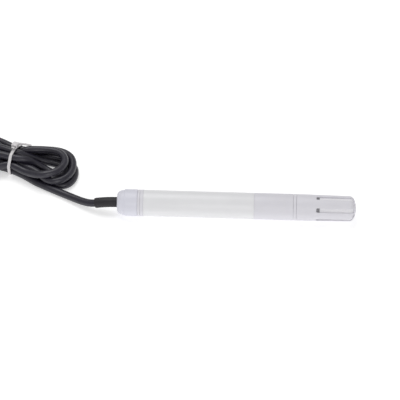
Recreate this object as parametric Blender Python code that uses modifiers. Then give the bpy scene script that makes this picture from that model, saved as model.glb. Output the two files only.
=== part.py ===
"""Moisture and temperature probe with a slotted filter cap and a tied hank of cable.

The probe lies on its side: +X runs along its axis towards the slotted tip, +Z is up.
The origin is under the middle of the probe, on the surface that it lies on.
Stations along the probe are millimetres from the rear face of the rear cap.
Every length in this file is in millimetres, and MM makes it metres.
"""

import math

import bmesh
import bpy
from mathutils import Matrix, Vector

MM = 0.001

# Probe.
PROBE_LENGTH = 144.0
TUBE_R = 8.0
TUBE_BORE_R = 6.5
REAR_CAP_R = 8.1
COLLAR_R = 7.8
GAP = 0.3  # between pieces that touch end to end
SNUG = 0.15  # between round pieces that share their facets
ROUND = 32  # facets round the probe's axis

# Stations of the joins.
REAR_CAP_END = 12.35
TUBE_START = 13.9
TUBE_END = 106.2
FILTER_CAP_START = 108.1
LABEL_START = 16.0
LABEL_END = 82.5

# Screw threads of both caps: pitch, radii, and how far a ridge stands in its wall.
PITCH = 1.5
SPIGOT_R = 6.0
SPIGOT_CREST_R = 6.6
NUT_BORE_R = 6.9
NUT_CREST_R = 6.3
RIDGE_ROOT = 0.45
RIDGE_CREST = 0.18
REAR_THREAD = (6.4, 3)  # station of the first turn, and turns
FRONT_THREAD = (109.4, 3)

# Filter cap, and the filter in it.
CAGE_R = 7.6
CAGE_BORE_R = 6.7
CAGE_STEP = 116.2
SLOTS = 6
SLOT_WIDTH = 2.65
SLOT_START = 120.0
SLOT_TURN = 31.4  # degrees from the top to the nearest slot
DOME_START = 140.0
FILTER_R = 6.45
FILTER_START = 123.0

# Cable.
CABLE_R = 2.3
SLEEVE_R = 3.1
SLEEVE_BORE_R = 2.65
SLEEVE_LENGTH = 13.2
SLEEVE_DROP_R = 34.0  # radius of its bend down
SLEEVE_TURN_R = 81.0  # radius of its bend away
CAP_HOLE_R = 3.5

# Where the tie holds the hank, and the tie's heading.
TIE_X = -135.1
TIE_Y = 33.65
TIE_TURN = -17.0
HANK_HEIGHT = 14.4
TIE_WIDTH = 2.2
TIE_THICK = 1.1


def clear_scene():
    for obj in list(bpy.data.objects):
        bpy.data.objects.remove(obj)


def collection(name):
    made = bpy.data.collections.new(name)
    bpy.context.scene.collection.children.link(made)
    return made


clear_scene()
PARTS = collection("moisture_probe")
CUTTERS = collection("cutters")
ON_AXIS = Matrix.Translation(Vector((-PROBE_LENGTH / 2, 0, REAR_CAP_R)) * MM)


def material(name, colour, roughness, metallic=0.0):
    made = bpy.data.materials.new(name)
    made.use_nodes = True
    shader = made.node_tree.nodes["Principled BSDF"]
    shader.inputs["Base Color"].default_value = (*colour, 1)
    shader.inputs["Roughness"].default_value = roughness
    shader.inputs["Metallic"].default_value = metallic
    return made


LOOKS = {
    "white_plastic": material("white_plastic", (0.69, 0.68, 0.73), 0.4),
    "label_film": material("label_film", (0.79, 0.79, 0.81), 0.3),
    "filter_white": material("filter_white", (0.76, 0.75, 0.79), 0.85),
    "black_rubber": material("black_rubber", (0.03, 0.028, 0.032), 0.6),
    "cable_sheath": material("cable_sheath", (0.03, 0.028, 0.038), 0.45),
    "tie_nylon": material("tie_nylon", (0.6, 0.58, 0.6), 0.35),
    "board_green": material("board_green", (0.02, 0.16, 0.07), 0.4),
    "chip_black": material("chip_black", (0.02, 0.02, 0.02), 0.5),
    "bright_metal": material("bright_metal", (0.75, 0.75, 0.76), 0.3, 1.0),
    "connector_cream": material("connector_cream", (0.75, 0.72, 0.62), 0.5),
    "core_red": material("core_red", (0.5, 0.02, 0.02), 0.45),
    "core_black": material("core_black", (0.02, 0.02, 0.02), 0.45),
    "core_yellow": material("core_yellow", (0.7, 0.5, 0.03), 0.45),
    "core_green": material("core_green", (0.03, 0.3, 0.08), 0.45),
}
CORES = ("core_red", "core_black", "core_yellow", "core_green")


def place(obj, look=None, smooth=35):
    """Files an object as a part with its material, or as a hidden cutter."""
    for owner in list(obj.users_collection):
        owner.objects.unlink(obj)
    if look is None:
        CUTTERS.objects.link(obj)
        obj.hide_render = True
        obj.display_type = "WIRE"
        return obj
    PARTS.objects.link(obj)
    obj.data.materials.clear()
    obj.data.materials.append(LOOKS[look])
    if obj.type == "MESH":
        obj.data.shade_smooth()
        obj.data.set_sharp_from_angle(angle=math.radians(smooth))
    return obj


def baked(obj):
    """The object as one welded mesh, with its modifiers applied."""
    bpy.context.view_layer.update()
    shown = obj.evaluated_get(bpy.context.evaluated_depsgraph_get())
    mesh = bpy.data.meshes.new_from_object(shown)
    shape = bmesh.new()
    shape.from_mesh(mesh)
    bmesh.ops.remove_doubles(shape, verts=shape.verts, dist=1e-6)
    bmesh.ops.holes_fill(shape, edges=shape.edges)
    bmesh.ops.recalc_face_normals(shape, faces=shape.faces)
    shape.to_mesh(mesh)
    shape.free()
    made = bpy.data.objects.new(obj.name, mesh)
    made.matrix_world = obj.matrix_world.copy()
    name = obj.name
    for owner in obj.users_collection:
        owner.objects.link(made)
    bpy.data.objects.remove(obj)
    made.name = name
    return made


def combined(obj, other, operation):
    """obj with other cut from it, or joined to it. The other object is used up."""
    step = obj.modifiers.new(operation.lower(), "BOOLEAN")
    step.operation = operation
    step.solver = "EXACT"
    step.object = other
    made = baked(obj)
    bpy.data.objects.remove(other)
    return made


def swept(name, ring, turns=1, pitch=0.0, segments=ROUND):
    """A closed ring of (station, radius) swept about the probe's axis.

    A ring that goes along +X on its inner side and back on its outer side faces out.
    """
    mesh = bpy.data.meshes.new(name)
    points = [(station * MM, radius * MM, 0) for station, radius in ring]
    sides = [(i, (i + 1) % len(ring)) for i in range(len(ring))]
    mesh.from_pydata(points, sides, [])
    obj = bpy.data.objects.new(name, mesh)
    obj.matrix_world = ON_AXIS
    place(obj)
    screw = obj.modifiers.new("turn", "SCREW")
    screw.axis = "X"
    screw.steps = segments
    screw.render_steps = segments
    screw.iterations = turns
    screw.screw_offset = pitch * MM
    screw.use_merge_vertices = pitch == 0
    screw.merge_threshold = 1e-6
    return baked(obj)


def thread(name, station, root_r, crest_r, turns):
    """A helical ridge with its root hidden in the wall that it stands on."""
    buried = root_r - math.copysign(0.1, crest_r - root_r)
    ring = [
        (station - RIDGE_ROOT, buried),
        (station + RIDGE_ROOT, buried),
        (station + RIDGE_CREST, crest_r),
        (station - RIDGE_CREST, crest_r),
    ]
    return swept(name, ring, turns, PITCH)


def box(name, centre, size, look=None, bevel=0.0):
    """A block at (station, across, up) from the probe's axis."""
    shape = bmesh.new()
    bmesh.ops.create_cube(shape, size=1)
    bmesh.ops.scale(shape, vec=Vector(size) * MM, verts=shape.verts)
    if bevel:
        bmesh.ops.bevel(
            shape, geom=shape.edges, offset=bevel * MM, segments=1, affect="EDGES"
        )
    mesh = bpy.data.meshes.new(name)
    shape.to_mesh(mesh)
    shape.free()
    obj = bpy.data.objects.new(name, mesh)
    obj.matrix_world = ON_AXIS @ Matrix.Translation(Vector(centre) * MM)
    return place(obj, look)


def smooth_route(points, spacing, closed=False):
    """Points about spacing apart on a smooth curve through the given ones."""
    points = [Vector(p) for p in points]
    ends = points[-1:] + points + points[:2] if closed else [
        2 * points[0] - points[1],
        *points,
        2 * points[-1] - points[-2],
    ]
    fine = []
    for before, a, b, after in zip(ends, ends[1:], ends[2:], ends[3:]):
        for i in range(16):
            t = i / 16
            fine.append(
                0.5
                * (
                    2 * a
                    + (b - before) * t
                    + (2 * before - 5 * a + 4 * b - after) * t**2
                    + (3 * a - before - 3 * b + after) * t**3
                )
            )
    fine.append(points[0] if closed else points[-1])
    length = sum((q - p).length for p, q in zip(fine, fine[1:]))
    count = max(2, round(length / spacing))
    route, walked, wanted = [fine[0]], 0.0, 1
    for p, q in zip(fine, fine[1:]):
        step = (q - p).length
        while wanted < count and walked + step >= wanted * length / count:
            share = (wanted * length / count - walked) / step
            route.append(p.lerp(q, share))
            wanted += 1
        walked += step
    return route if closed else [*route, fine[-1]]


def tube(name, route, radius, look=None, resolution=2):
    """A round bar along the route's points, with filled ends."""
    curve = bpy.data.curves.new(name, "CURVE")
    curve.dimensions = "3D"
    curve.bevel_depth = radius * MM
    curve.bevel_resolution = resolution
    curve.use_fill_caps = True
    spline = curve.splines.new("POLY")
    spline.points.add(len(route) - 1)
    for point, place_mm in zip(spline.points, route):
        point.co = (*(Vector(place_mm) * MM), 1)
    return place(bpy.data.objects.new(name, curve), look)


def at(station, across=0.0, up=0.0):
    """World place, in millimetres, of a point given from the probe's axis."""
    return Vector((station - PROBE_LENGTH / 2, across, REAR_CAP_R + up))


# Housing.


def make_probe_tube():
    body = swept(
        "probe_tube",
        [
            (TUBE_START, TUBE_BORE_R),
            (TUBE_END, TUBE_BORE_R),
            (TUBE_END, TUBE_R - 0.15),
            (TUBE_END - 0.15, TUBE_R),
            (LABEL_END + 0.2, TUBE_R),
            (LABEL_END + 0.2, TUBE_R - 0.4),
            (LABEL_START - 0.2, TUBE_R - 0.4),
            (LABEL_START - 0.2, TUBE_R),
            (TUBE_START + 0.15, TUBE_R),
            (TUBE_START, TUBE_R - 0.15),
        ],
    )
    place(body, "white_plastic")
    label = swept(
        "label_wrap",
        [
            (LABEL_START, TUBE_R - 0.25),
            (LABEL_END, TUBE_R - 0.25),
            (LABEL_END, TUBE_R),
            (LABEL_START, TUBE_R),
        ],
    )
    place(label, "label_film")


def make_rear_cap():
    dome = []
    for i in range(1, 6):
        turn = math.radians(90 * i / 6)
        dome.append((4.0 - 4.0 * math.sin(turn), 4.6 + (REAR_CAP_R - 4.6) * math.cos(turn)))
    cap = swept(
        "rear_cap",
        [
            (0, CAP_HOLE_R),
            (3.2, CAP_HOLE_R),
            (3.2, NUT_BORE_R),
            (REAR_CAP_END, NUT_BORE_R),
            (REAR_CAP_END, REAR_CAP_R - 0.3),
            (REAR_CAP_END - 0.3, REAR_CAP_R),
            (4.0, REAR_CAP_R),
            *dome,
            (0, 4.6),
        ],
    )
    first, turns = REAR_THREAD
    ridge = thread("rear_cap_thread", first + PITCH / 2, NUT_BORE_R, NUT_CREST_R, turns)
    place(combined(cap, ridge, "UNION"), "white_plastic")


def make_gland_body():
    body = swept(
        "gland_body",
        [
            (5.7, 4.4),
            (10.4, 4.4),
            (10.4, 3.0),
            (21.0, 3.0),
            (21.0, TUBE_BORE_R - SNUG),
            (18.3, TUBE_BORE_R - SNUG),
            (18.3, 5.1),
            (16.9, 5.1),
            (16.9, TUBE_BORE_R - SNUG),
            (TUBE_START - GAP, TUBE_BORE_R - SNUG),
            (TUBE_START - GAP, COLLAR_R),
            (REAR_CAP_END + GAP, COLLAR_R),
            (REAR_CAP_END + GAP, SPIGOT_R),
            (5.7, SPIGOT_R),
        ],
    )
    first, turns = REAR_THREAD
    ridge = thread("gland_thread", first, SPIGOT_R, SPIGOT_CREST_R, turns)
    place(combined(body, ridge, "UNION"), "white_plastic")


def make_o_ring(name, station):
    ring = []
    for i in range(8):
        turn = 2 * math.pi * (i + 0.5) / 8
        ring.append((station - 0.5 * math.cos(turn), 5.72 - 0.5 * math.sin(turn)))
    place(swept(name, ring), "black_rubber")


def make_gland_seal():
    washer = swept("thrust_washer", [(3.5, 3.65), (4.3, 3.65), (4.3, 5.8), (3.5, 5.8)])
    place(washer, "connector_cream")
    seal = swept(
        "cable_seal",
        [(4.6, 3.6), (10.0, 3.6), (10.0, 4.15), (5.4, 4.15), (5.4, 5.6), (4.6, 5.6)],
    )
    place(seal, "black_rubber")


def sleeve_route(first, last, steps):
    """The cable's line, from first to last millimetres behind the rear cap's face."""
    route = []
    for i in range(steps + 1):
        behind = first + (last - first) * i / steps
        bent = max(0.0, behind - 1.0)
        drop, turn = bent**2 / (2 * SLEEVE_DROP_R), bent**2 / (2 * SLEEVE_TURN_R)
        route.append(at(-behind, turn, -drop))
    return route


def make_strain_relief():
    outer = [at(9.9), *sleeve_route(0, SLEEVE_LENGTH, 8)]
    past = [at(10.9), *sleeve_route(0, SLEEVE_LENGTH + 1, 8)]
    sleeve = baked(tube("strain_relief_sleeve", outer, SLEEVE_R, resolution=6))
    hole = baked(tube("sleeve_hole", past, SLEEVE_BORE_R, resolution=6))
    place(combined(sleeve, hole, "DIFFERENCE"), "black_rubber")
    inner = [at(24.0), *sleeve_route(0, SLEEVE_LENGTH - 1, 8)]
    tube("cable_jacket_end", inner, CABLE_R, "cable_sheath", resolution=4)


def make_sensor_carrier():
    first, turns = FRONT_THREAD
    body = swept(
        "sensor_carrier",
        [
            (98.0, 0),
            (119.2, 0),
            (119.2, SPIGOT_R - 0.3),
            (118.9, SPIGOT_R),
            (FILTER_CAP_START - GAP, SPIGOT_R),
            (FILTER_CAP_START - GAP, COLLAR_R),
            (TUBE_END + GAP, COLLAR_R),
            (TUBE_END + GAP, TUBE_BORE_R - SNUG),
            (103.1, TUBE_BORE_R - SNUG),
            (103.1, 5.1),
            (101.7, 5.1),
            (101.7, TUBE_BORE_R - SNUG),
            (98.0, TUBE_BORE_R - SNUG),
        ],
    )
    ridge = thread("carrier_thread", first, SPIGOT_R, SPIGOT_CREST_R, turns)
    body = combined(body, ridge, "UNION")
    slot = box("carrier_slot", (108.6, 0, 0), (30, 7.6, 1.6))
    place(combined(body, slot, "DIFFERENCE"), "white_plastic")


def make_filter_cap():
    outside, inside = [], []
    for i in range(1, 6):
        turn = math.radians(90 * i / 6)
        outside.append((DOME_START + 4 * math.sin(turn), CAGE_R * math.cos(turn)))
        inside.append((DOME_START - 0.6 + 3.1 * math.sin(turn), CAGE_BORE_R * math.cos(turn)))
    cap = swept(
        "filter_cap",
        [
            (FILTER_CAP_START, NUT_BORE_R),
            (CAGE_STEP, NUT_BORE_R),
            (CAGE_STEP, CAGE_BORE_R),
            (DOME_START - 0.6, CAGE_BORE_R),
            *inside,
            (DOME_START + 2.5, 0),
            (PROBE_LENGTH, 0),
            (PROBE_LENGTH, 1.6),
            *reversed(outside),
            (DOME_START, CAGE_R),
            (SLOT_START, 7.9),
            (FILTER_CAP_START + 0.3, TUBE_R),
            (FILTER_CAP_START, TUBE_R - 0.3),
        ],
    )
    first, turns = FRONT_THREAD
    ridge = thread("cap_thread", first + PITCH / 2, NUT_BORE_R, NUT_CREST_R, turns)
    cap = combined(cap, ridge, "UNION")
    for i in range(SLOTS):
        slot = box(
            f"slot_cutter_{i + 1}",
            ((SLOT_START + DOME_START + 2.2) / 2, 0, 6.6),
            (DOME_START + 2.2 - SLOT_START, SLOT_WIDTH, 5.0),
        )
        turn = math.radians(SLOT_TURN + 60 * i)
        slot.matrix_world = (
            ON_AXIS @ Matrix.Rotation(turn, 4, "X") @ ON_AXIS.inverted() @ slot.matrix_world
        )
        cap = combined(cap, slot, "DIFFERENCE")
    place(cap, "white_plastic")


def make_filter():
    outside, inside = [], []
    for i in range(1, 4):
        turn = math.radians(90 * i / 4)
        outside.append((138.2 + 2.4 * math.sin(turn), FILTER_R * math.cos(turn)))
        inside.append((137.2 + 1.6 * math.sin(turn), 4.7 * math.cos(turn)))
    insert = swept(
        "filter_insert",
        [
            (FILTER_START, 4.7),
            (137.2, 4.7),
            *inside,
            (138.8, 0),
            (140.6, 0),
            *reversed(outside),
            (138.2, FILTER_R),
            (FILTER_START, FILTER_R),
        ],
    )
    place(insert, "filter_white")
    gasket = swept(
        "filter_seat_gasket",
        [(119.5, 4.5), (122.7, 4.5), (122.7, 6.4), (119.5, 6.4)],
    )
    place(gasket, "black_rubber")


# Electronics.


def make_boards():
    box("main_board", (61.0, 0, -1.0), (56, 11.0, 1.0), "board_green")
    box("sensor_board", (114.5, 0, 0), (41, 7.0, 1.0), "board_green")
    tops = {  # station, across, length, width, height, look
        "microcontroller": (62.0, 0.0, 5.0, 5.0, 1.0, "chip_black"),
        "transceiver": (47.0, 0.0, 5.0, 4.0, 1.5, "chip_black"),
        "voltage_regulator": (54.5, 1.6, 4.5, 2.5, 1.5, "chip_black"),
        "bulk_capacitor": (54.5, -2.6, 3.5, 2.8, 1.9, "core_yellow"),
        "crystal": (69.0, 0.0, 3.2, 2.5, 0.8, "bright_metal"),
        "wire_connector": (36.5, 0.0, 5.0, 9.0, 4.2, "connector_cream"),
    }
    for name, (station, across, length, width, height, look) in tops.items():
        up = -0.5 + GAP + height / 2
        box(name, (station, across, up), (length, width, height), look, bevel=0.15)
    box("board_link", (90.4, 0, 1.1), (6.0, 7.4, 2.6), "connector_cream", bevel=0.15)
    box("humidity_chip", (130.5, 0, 1.25), (2.5, 2.5, 0.9), "chip_black", bevel=0.1)
    box("decoupling_capacitor", (127.2, 0, 1.05), (1.0, 1.8, 0.5), "connector_cream", bevel=0.08)


def make_inner_conductors():
    for i, (look, lane) in enumerate(zip(CORES, (3.0, -3.0, -1.0, 1.0))):
        turn = math.radians(45 + 90 * i)
        side, up = 1.1 * math.cos(turn), 1.1 * math.sin(turn)
        route = [
            at(24.3, side, up),
            at(26.0, side, up),
            at(29.0, (side + lane) / 2, (up + 1.6) / 2),
            at(32.0, lane, 1.6),
            at(33.7, lane, 1.6),
        ]
        tube(f"conductor_{i + 1}", smooth_route(route, 1.2), 0.55, look, resolution=1)


# Cable outside the probe.

LEAD_ROUTE = [
    (-87.1, 1.3, 5.3),
    (-89.6, 2.15, 4.65),
    (-92.0, 3.3, 4.1),
    (-94.5, 4.75, 3.6),
    (-97.0, 6.3, 3.2),
    (-100.5, 8.4, 2.8),
    (-104.5, 10.7, 2.5),
    (-109.2, 13.3, 2.35),
    (-114.1, 15.9, 2.35),
    (-119.1, 18.6, 2.35),
    (-123.0, 21.0, 2.4),
    (-126.8, 23.5, 2.6),
    (-130.0, 25.7, 2.9),
]
# Outline of the hank, anticlockwise from the near side of the tie, measured from the tie.
HANK_OUTLINE = [
    (0.0, -7.9),
    (4.5, -7.6),
    (9.8, -8.3),
    (15.2, -11.2),
    (20.4, -14.4),
    (26.6, -16.2),
    (32.4, -14.6),
    (36.4, -10.4),
    (38.0, -4.8),
    (38.0, 0.0),
    (36.8, 5.8),
    (33.2, 10.9),
    (28.0, 14.2),
    (21.6, 15.5),
    (13.6, 14.8),
    (6.4, 11.8),
    (2.0, 10.9),
    (-3.0, 12.4),
    (-9.3, 17.2),
    (-18.0, 24.2),
    (-28.0, 31.5),
    (-40.0, 36.8),
    (-52.0, 39.4),
    (-63.0, 40.0),
    (-73.0, 37.3),
    (-80.8, 29.5),
    (-83.4, 19.4),
    (-80.5, 9.2),
    (-72.5, 1.3),
    (-62.0, -1.5),
    (-50.0, -2.6),
    (-38.0, -3.6),
    (-28.0, -3.9),
    (-18.0, -4.2),
    (-9.3, -5.2),
    (-4.0, -6.8),
]
TAIL_ROUTE = [
    (-147.0, 29.4, 7.0),
    (-151.0, 27.0, 4.7),
    (-155.5, 25.6, 3.0),
    (-161.0, 24.9, 2.4),
    (-167.5, 24.7, 2.35),
    (-174.0, 24.9, 2.35),
]


def lead_route():
    start = sleeve_route(SLEEVE_LENGTH - 0.7, SLEEVE_LENGTH - 0.7, 1)[:1]
    return smooth_route([*start, *LEAD_ROUTE], 6.0)


def make_hank():
    outline = [(TIE_X + x, TIE_Y + y, 0) for x, y in HANK_OUTLINE]
    outline = smooth_route(outline, 4.0, closed=True)
    rounding = 3.0
    curve = bpy.data.curves.new("cable_hank", "CURVE")
    curve.dimensions = "2D"
    curve.fill_mode = "BOTH"
    curve.extrude = (HANK_HEIGHT / 2 - rounding) * MM
    curve.bevel_depth = rounding * MM
    curve.bevel_resolution = 1
    curve.offset = -rounding * MM
    spline = curve.splines.new("POLY")
    spline.points.add(len(outline) - 1)
    for point, (x, y, _) in zip(spline.points, outline):
        point.co = (x * MM, y * MM, 0, 1)
    spline.use_cyclic_u = True
    hank = place(bpy.data.objects.new("cable_hank", curve))
    hank.location.z = (HANK_HEIGHT / 2 + 0.1) * MM
    hank = baked(hank)
    lead, tail = lead_route(), tail_route()
    lead.append(lead[-1] + (lead[-1] - lead[-2]).normalized() * GAP)
    tail.insert(0, tail[0] + (tail[0] - tail[1]).normalized() * GAP)
    for name, line in (("lead_groove", lead), ("tail_groove", tail)):
        groove = baked(tube(name, line, CABLE_R + GAP, resolution=4))
        hank = combined(hank, groove, "DIFFERENCE")
    groove = tie_ring("tie_groove", GAP)
    place(combined(hank, groove, "DIFFERENCE"), "cable_sheath", smooth=50)


def tail_route():
    return smooth_route(TAIL_ROUTE, 6.0)


def tie_ring(name, grown=0.0):
    """The strap round the bundle, standing across the hank's line."""
    half_wide, half_high, corner = 8.5, 6.5, 4.2
    curve = bpy.data.curves.new(name, "CURVE")
    curve.dimensions = "2D"
    curve.fill_mode = "BOTH"
    curve.extrude = (TIE_WIDTH / 2 + grown) * MM
    for out in (TIE_THICK + grown, -grown):
        wide, high, round_r = half_wide + out, half_high + out, corner + out
        spline = curve.splines.new("POLY")
        points = []
        for quarter in range(4):
            sign_x = 1 if quarter in (0, 3) else -1
            sign_y = 1 if quarter in (0, 1) else -1
            for i in range(6):
                turn = math.radians(90 * (quarter + i / 5))
                points.append(
                    (
                        sign_x * (wide - round_r) + round_r * math.cos(turn),
                        sign_y * (high - round_r) + round_r * math.sin(turn),
                    )
                )
        spline.points.add(len(points) - 1)
        for point, (x, y) in zip(spline.points, points):
            point.co = (x * MM, y * MM, 0, 1)
        spline.use_cyclic_u = True
    ring = place(bpy.data.objects.new(name, curve))
    ring.matrix_world = tie_frame() @ Matrix.Translation(
        Vector((1.15, half_high + TIE_THICK + 0.1, 0)) * MM
    )
    return baked(ring)


def tie_frame():
    """Local x runs across the hank away from the near side, y up, z along it."""
    along = Vector((math.cos(math.radians(TIE_TURN)), math.sin(math.radians(TIE_TURN)), 0))
    up = Vector((0, 0, 1))
    across = up.cross(along)
    turn = Matrix((across, up, -along)).transposed().to_4x4()
    return Matrix.Translation(Vector((TIE_X, TIE_Y, 0)) * MM) @ turn


def make_tie():
    ring = tie_ring("cable_tie")
    head = box("tie_head", (0, 0, 0), (4.6, 3.0, 3.4), bevel=0.4)
    head.matrix_world = tie_frame() @ Matrix.Translation(Vector((4.2, 16.6, 0)) * MM)
    ring = combined(ring, head, "UNION")
    stub = box("tie_stub", (0, 0, 0), (8.0, TIE_THICK, TIE_WIDTH))
    stub.matrix_world = tie_frame() @ Matrix.Translation(Vector((8.4, 16.6, 0)) * MM)
    place(combined(ring, stub, "UNION"), "tie_nylon")


def make_cable():
    tube("cable_lead", lead_route(), CABLE_R, "cable_sheath", resolution=2)
    tube("cable_tail", tail_route(), CABLE_R, "cable_sheath", resolution=2)
    end, before = Vector(TAIL_ROUTE[-1]), Vector(TAIL_ROUTE[-2])
    ahead = (end - before).normalized()
    across = Vector((0, 0, 1)).cross(ahead)
    for i, (look, up) in enumerate(zip(CORES, (-0.75, 0.75, 0.75, -0.75))):
        lane = i - 1.5
        start = end + ahead * GAP + across * math.copysign(0.75, lane)
        route = [
            start + Vector((0, 0, up)),
            start + ahead * 3 + across * lane * 0.5 + Vector((0, 0, up * 0.9)),
            start + ahead * 11 + across * lane * 1.9 - Vector((0, 0, 1.0)),
            start + ahead * 18 + across * lane * 2.3 - Vector((0, 0, 1.6)),
        ]
        tube(f"tail_core_{i + 1}", smooth_route(route, 2.0), 0.6, look, resolution=1)
        out = (route[-1] - route[-2]).normalized()
        tip = [route[-1] + out * GAP, route[-1] + out * 7]
        tip[1].z = tip[0].z
        tube(f"tail_ferrule_{i + 1}", tip, 0.75, "bright_metal", resolution=2)


make_probe_tube()
make_rear_cap()
make_gland_body()
make_o_ring("rear_o_ring", 17.6)
make_gland_seal()
make_strain_relief()
make_sensor_carrier()
make_o_ring("front_o_ring", 102.4)
make_filter_cap()
make_filter()
make_boards()
make_inner_conductors()
make_hank()
make_tie()
make_cable()
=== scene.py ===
"""Looks of the slotted moisture probe: housing, slotted cap, cable hank, tie and electronics.

Stations along the probe are millimetres from the rear face of the rear cap.
Every length in this file is in millimetres unless its comment says otherwise.
"""

import math

import bmesh
import bpy
import numpy as np
from mathutils import Matrix, Vector, geometry


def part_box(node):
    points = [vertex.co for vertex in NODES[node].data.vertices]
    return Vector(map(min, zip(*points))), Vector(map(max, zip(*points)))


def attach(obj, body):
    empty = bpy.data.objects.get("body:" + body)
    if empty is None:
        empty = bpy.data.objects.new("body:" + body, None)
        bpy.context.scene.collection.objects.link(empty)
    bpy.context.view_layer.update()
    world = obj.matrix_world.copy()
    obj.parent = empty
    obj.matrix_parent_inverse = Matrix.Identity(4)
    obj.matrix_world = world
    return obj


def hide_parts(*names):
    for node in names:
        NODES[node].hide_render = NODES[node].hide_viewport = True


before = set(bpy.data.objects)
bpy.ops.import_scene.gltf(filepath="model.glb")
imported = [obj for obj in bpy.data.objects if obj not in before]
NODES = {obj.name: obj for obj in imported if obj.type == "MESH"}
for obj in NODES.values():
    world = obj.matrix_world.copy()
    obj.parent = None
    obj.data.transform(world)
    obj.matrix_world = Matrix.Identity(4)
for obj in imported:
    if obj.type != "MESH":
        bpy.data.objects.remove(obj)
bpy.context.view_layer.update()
MM = 0.001

# The probe's axis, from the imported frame.
cap_low, cap_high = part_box("rear_cap")
REAR_X = cap_low.x / MM
AXIS_Z = (cap_low.z + cap_high.z) / 2 / MM
TIP_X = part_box("filter_cap")[1].x / MM
PROBE_LENGTH = TIP_X - REAR_X

CABLE_R = 2.3
TUBE_R = 8.0
CAP_R = 8.1
CAGE_R = 7.6
BORE_R = 6.5
SMOOTH_ROUND = 96  # facets round a turned piece
FILLET_STEPS = 4
BAR_SIDES = 40  # facets round a hollow bar, and round a strand in the tie


def at(station, across=0.0, up=0.0):
    """World place, in millimetres, of a point given from the probe's axis."""
    return Vector((REAR_X + station, across, AXIS_Z + up))


# Camera and lights.

VIEW_TURN = math.radians(2.3)
VIEW_RISE = math.radians(45)
VIEW_WIDTH = 241.0
VIEW_DISTANCE = 1600.0
VIEW_CENTRE = (-22.0, 3.3)  # right and up in the view, from the axis above the origin
SENSOR = 36.0
KEY_POWER = 3.6
FRONT_POWER = 2.2
SKY = 0.5
FLOOR_GLOW = 0.42


def view_axes():
    turn, rise = VIEW_TURN, VIEW_RISE
    right = Vector((math.cos(turn), math.sin(turn), 0))
    level = math.cos(rise)
    back = Vector((math.sin(turn) * level, -math.cos(turn) * level, math.sin(rise)))
    return right, back.cross(right), back


def make_camera():
    right, up, back = view_axes()
    aim = Vector((0, 0, AXIS_Z)) + right * VIEW_CENTRE[0] + up * VIEW_CENTRE[1]
    data = bpy.data.cameras.new("camera")
    data.sensor_width = SENSOR
    data.lens = SENSOR * VIEW_DISTANCE / VIEW_WIDTH
    data.clip_start = 0.05  # metres
    camera = bpy.data.objects.new("camera", data)
    camera.location = (aim + back * VIEW_DISTANCE) * MM
    camera.rotation_mode = "QUATERNION"
    camera.rotation_quaternion = Matrix((right, up, back)).transposed().to_quaternion()
    bpy.context.scene.collection.objects.link(camera)
    bpy.context.scene.camera = camera


def make_light(name, place, aim, size, power):
    data = bpy.data.lights.new(name, "AREA")
    data.shape = "DISK"
    data.size = size * MM
    data.energy = power
    light = bpy.data.objects.new(name, data)
    light.location = Vector(place) * MM
    heading = (Vector(aim) - Vector(place)).normalized()
    light.rotation_mode = "QUATERNION"
    light.rotation_quaternion = heading.to_track_quat("-Z", "Y")
    bpy.context.scene.collection.objects.link(light)


def make_studio():
    make_light("key_light", (-250, 350, 900), (-40, 10, 0), 700, KEY_POWER)
    make_light("front_light", (150, -900, 500), (-40, 10, 0), 600, FRONT_POWER)
    world = bpy.data.worlds.new("studio")
    world.use_nodes = True
    background = world.node_tree.nodes["Background"]
    background.inputs["Color"].default_value = (1.0, 1.0, 1.0, 1)
    background.inputs["Strength"].default_value = SKY
    scene = bpy.context.scene
    scene.world = world
    scene.view_settings.view_transform = "Standard"


# Materials.


class Nodes:
    """A material's node tree, with short calls for its nodes and links."""

    def __init__(self, name):
        self.material = bpy.data.materials.new(name)
        self.material.use_nodes = True
        self.tree = self.material.node_tree
        self.shader = self.tree.nodes["Principled BSDF"]
        self.place = self.add("ShaderNodeTexCoord").outputs["Object"]

    def add(self, kind, **settings):
        node = self.tree.nodes.new(kind)
        for key, value in settings.items():
            if hasattr(node, key):
                setattr(node, key, value)
            else:
                node.inputs[key.replace("_", " ")].default_value = value
        return node

    def link(self, out, into):
        self.tree.links.new(out, into)

    def noise(self, scale, detail=3.0, stretch=(1, 1, 1)):
        """Noise with scale features a metre, stretched along the axes."""
        mapping = self.add("ShaderNodeMapping")
        mapping.inputs["Scale"].default_value = stretch
        self.link(self.place, mapping.inputs["Vector"])
        noise = self.add("ShaderNodeTexNoise")
        noise.inputs["Scale"].default_value = scale
        noise.inputs["Detail"].default_value = detail
        self.link(mapping.outputs["Vector"], noise.inputs["Vector"])
        return noise.outputs["Fac"]

    def spread(self, out, low, high, start=0.3, end=0.7):
        """The value between start and end made a value from low to high."""
        ranged = self.add("ShaderNodeMapRange")
        ranged.inputs["From Min"].default_value = start
        ranged.inputs["From Max"].default_value = end
        ranged.inputs["To Min"].default_value = low
        ranged.inputs["To Max"].default_value = high
        self.link(out, ranged.inputs["Value"])
        return ranged.outputs["Result"]

    def blend(self, share, a, b):
        """Two colours mixed; either may be a colour or another node's colour."""
        mix = self.add("ShaderNodeMix", data_type="RGBA")
        self.link(share, mix.inputs["Factor"])
        for colour, into in ((a, mix.inputs["A"]), (b, mix.inputs["B"])):
            if isinstance(colour, tuple):
                into.default_value = (*colour, 1)
            else:
                self.link(colour, into)
        return mix.outputs["Result"]

    def bump(self, height, depth):
        """Depth is the bump's height in metres."""
        bump = self.add("ShaderNodeBump")
        bump.inputs["Distance"].default_value = depth
        self.link(height, bump.inputs["Height"])
        self.link(bump.outputs["Normal"], self.shader.inputs["Normal"])


PLASTIC_IOR = 1.46
CABLE_IOR = 1.52


def shade(colour, times):
    return tuple(min(1.0, c * times) for c in colour)


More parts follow.
